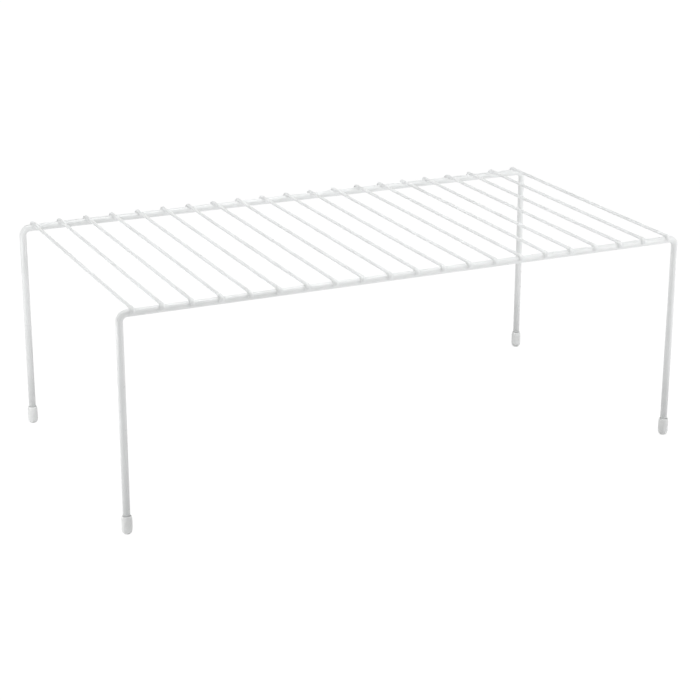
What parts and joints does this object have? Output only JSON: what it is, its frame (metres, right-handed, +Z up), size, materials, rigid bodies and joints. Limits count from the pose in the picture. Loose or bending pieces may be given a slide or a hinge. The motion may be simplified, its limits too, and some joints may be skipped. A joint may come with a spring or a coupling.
{
  "type": "wire helper shelf",
  "caption": "Coated wire helper shelf: bent-wire U frames front and back, thin cross wires laid over their rails as the deck, and a push-on cap on each foot.",
  "frame": {"origin": "on the floor, below the middle of the deck", "axes": "+X along the shelf, -Y towards its front, +Z up"},
  "size_m": [0.4086, 0.2196, 0.15],
  "materials": {
    "frame_coating": "white vinyl coating over steel wire, satin to semi-gloss",
    "cross_wire_coating": "white vinyl coating over steel wire, satin to semi-gloss",
    "foot_cap_vinyl": "soft white moulded vinyl, satin"
  },
  "bodies": {
    "root": {"front_frame": "frame_coating", "rear_frame": "frame_coating", "cross_wire_01": "cross_wire_coating", "cross_wire_02": "cross_wire_coating", "cross_wire_03": "cross_wire_coating", "cross_wire_04": "cross_wire_coating", "cross_wire_05": "cross_wire_coating", "cross_wire_06": "cross_wire_coating", "cross_wire_07": "cross_wire_coating", "cross_wire_08": "cross_wire_coating", "cross_wire_09": "cross_wire_coating", "cross_wire_10": "cross_wire_coating", "cross_wire_11": "cross_wire_coating", "cross_wire_12": "cross_wire_coating", "cross_wire_13": "cross_wire_coating", "cross_wire_14": "cross_wire_coating", "cross_wire_15": "cross_wire_coating", "cross_wire_16": "cross_wire_coating", "cross_wire_17": "cross_wire_coating", "cross_wire_18": "cross_wire_coating", "cross_wire_19": "cross_wire_coating", "cross_wire_20": "cross_wire_coating", "cross_wire_21": "cross_wire_coating", "foot_cap_front_left": "foot_cap_vinyl", "foot_cap_front_right": "foot_cap_vinyl", "foot_cap_rear_left": "foot_cap_vinyl", "foot_cap_rear_right": "foot_cap_vinyl"}
  },
  "joints": []
}
